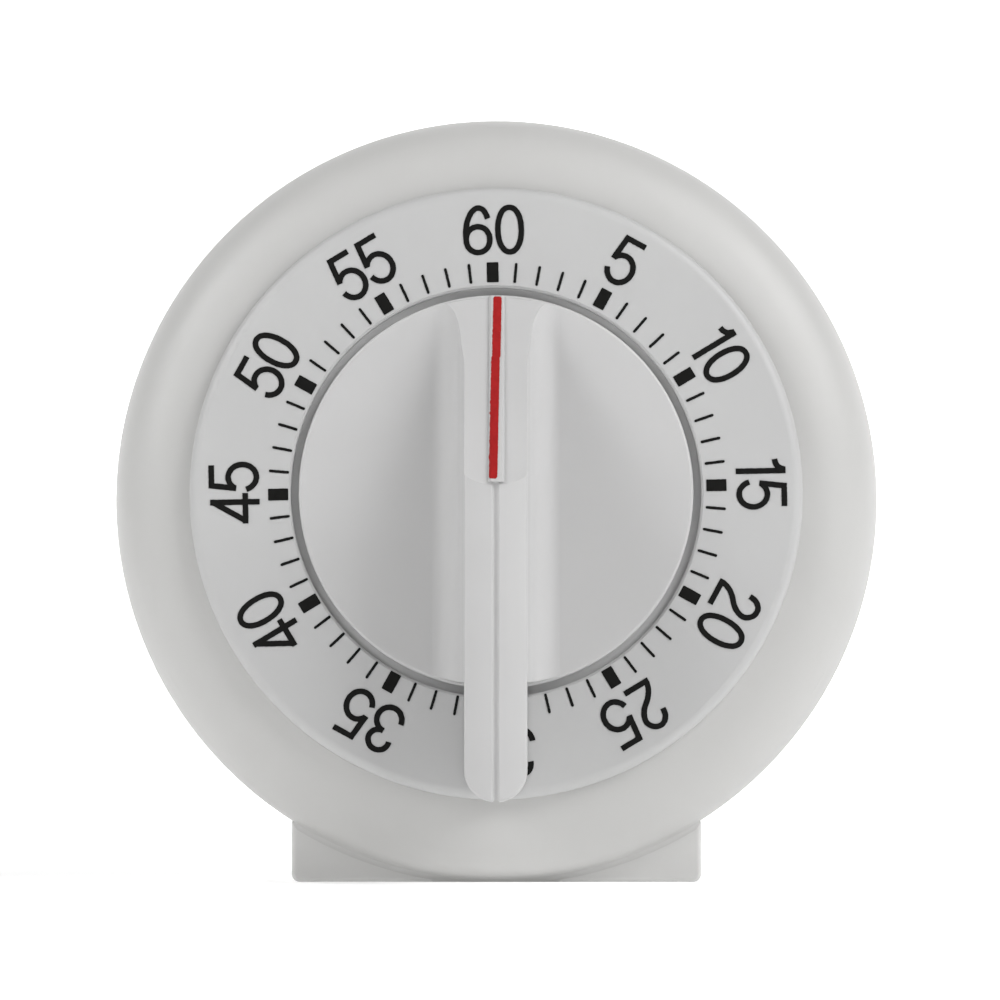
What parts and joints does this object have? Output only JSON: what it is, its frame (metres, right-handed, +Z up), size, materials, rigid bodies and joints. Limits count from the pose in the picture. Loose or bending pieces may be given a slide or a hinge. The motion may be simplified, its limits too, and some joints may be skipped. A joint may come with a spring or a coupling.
{
  "type": "kitchen timer",
  "caption": "White round mechanical kitchen timer with a raised minute dial, a long gripped pointer knob and a clockwork bell movement on an integral foot",
  "frame": {"origin": "middle of the foot underside, on the plane the timer stands on", "axes": "+Z up, -Y toward the reader so the dial faces -Y, +X to the reader's right"},
  "size_m": [0.1, 0.0573, 0.1002],
  "materials": {
    "white_plastic": "satin moulded",
    "dial_plastic": "satin moulded",
    "plate_steel": "zinc plated sheet",
    "wheel_brass": "stamped",
    "arbor_steel": "turned",
    "zinc_screws": "zinc plated",
    "spring_steel": "blued spring steel",
    "bell_steel": "nickel plated"
  },
  "bodies": {
    "case": {"front_case": "white_plastic", "rear_case": "white_plastic", "back_cover": "white_plastic", "dial_plate": "dial_plastic", "case_screws": "zinc_screws", "front_plate": "plate_steel", "back_plate": "plate_steel", "pillars": "arbor_steel", "pillar_nuts": "zinc_screws", "mount_screws": "zinc_screws", "mainspring": "spring_steel", "spring_post": "arbor_steel", "lever_stud": "arbor_steel", "lever_clip": "spring_steel", "lever_spring": "spring_steel", "bell": "bell_steel", "bell_post": "arbor_steel", "bell_washer": "zinc_screws", "bell_nut": "zinc_screws"},
    "dial_knob": {"knob": "white_plastic", "main_arbor": "arbor_steel", "arbor_clip": "spring_steel", "zero_cam": "wheel_brass", "clutch_washer": "spring_steel"},
    "great": {"great_wheel": "wheel_brass"},
    "second": {"second_arbor": "arbor_steel", "second_wheel": "wheel_brass"},
    "third": {"third_arbor": "arbor_steel", "third_wheel": "wheel_brass"},
    "escape": {"escape_arbor": "arbor_steel", "escape_wheel": "wheel_brass"},
    "balance": {"balance_staff": "arbor_steel", "pallet_anchor": "plate_steel", "balance_wheel": "wheel_brass"},
    "strike": {"strike_arbor": "arbor_steel", "strike_wheel": "wheel_brass"},
    "hammer": {"hammer_arbor": "arbor_steel", "hammer_verge": "plate_steel", "stop_finger": "plate_steel", "hammer_arm": "plate_steel", "hammer_head": "arbor_steel"},
    "lever": {"release_lever": "plate_steel"}
  },
  "joints": [
    {"name": "knob_turn", "type": "hinge", "parent": "case", "child": "dial_knob", "pos_m": [0, 0, 0.0502], "axis": [0, 1, 0], "range_deg": [0, 360], "deforming": ["mainspring"]},
    {"name": "great_turn", "type": "hinge", "parent": "case", "child": "great", "pos_m": [0, 0, 0.0502], "axis": [0, 1, 0], "continuous": true},
    {"name": "second_turn", "type": "hinge", "parent": "case", "child": "second", "pos_m": [-0.00929, 0, 0.06347], "axis": [0, 1, 0], "continuous": true},
    {"name": "third_turn", "type": "hinge", "parent": "case", "child": "third", "pos_m": [0.00349, 0, 0.06812], "axis": [0, 1, 0], "continuous": true},
    {"name": "escape_turn", "type": "hinge", "parent": "case", "child": "escape", "pos_m": [0.01314, 0, 0.06982], "axis": [0, 1, 0], "continuous": true},
    {"name": "strike_turn", "type": "hinge", "parent": "case", "child": "strike", "pos_m": [0.01522, 0, 0.04466], "axis": [0, 1, 0], "continuous": true},
    {"name": "balance_swing", "type": "hinge", "parent": "case", "child": "balance", "pos_m": [0.02113, 0, 0.06692], "axis": [0, 1, 0], "range_deg": [-10, 10]},
    {"name": "hammer_swing", "type": "hinge", "parent": "case", "child": "hammer", "pos_m": [0.02197, 0, 0.03662], "axis": [0, 1, 0], "range_deg": [-3, 4.5]},
    {"name": "release_drop", "type": "hinge", "parent": "case", "child": "lever", "pos_m": [0.00237, 0, 0.03267], "axis": [0, 1, 0], "range_deg": [0, 4.5]}
  ],
  "couplings": [
    {"joint": "great_turn", "follows": "knob_turn", "ratio": 1},
    {"joint": "second_turn", "follows": "knob_turn", "ratio": -8},
    {"joint": "third_turn", "follows": "knob_turn", "ratio": 60},
    {"joint": "escape_turn", "follows": "knob_turn", "ratio": -360},
    {"joint": "strike_turn", "follows": "knob_turn", "ratio": -8}
  ]
}
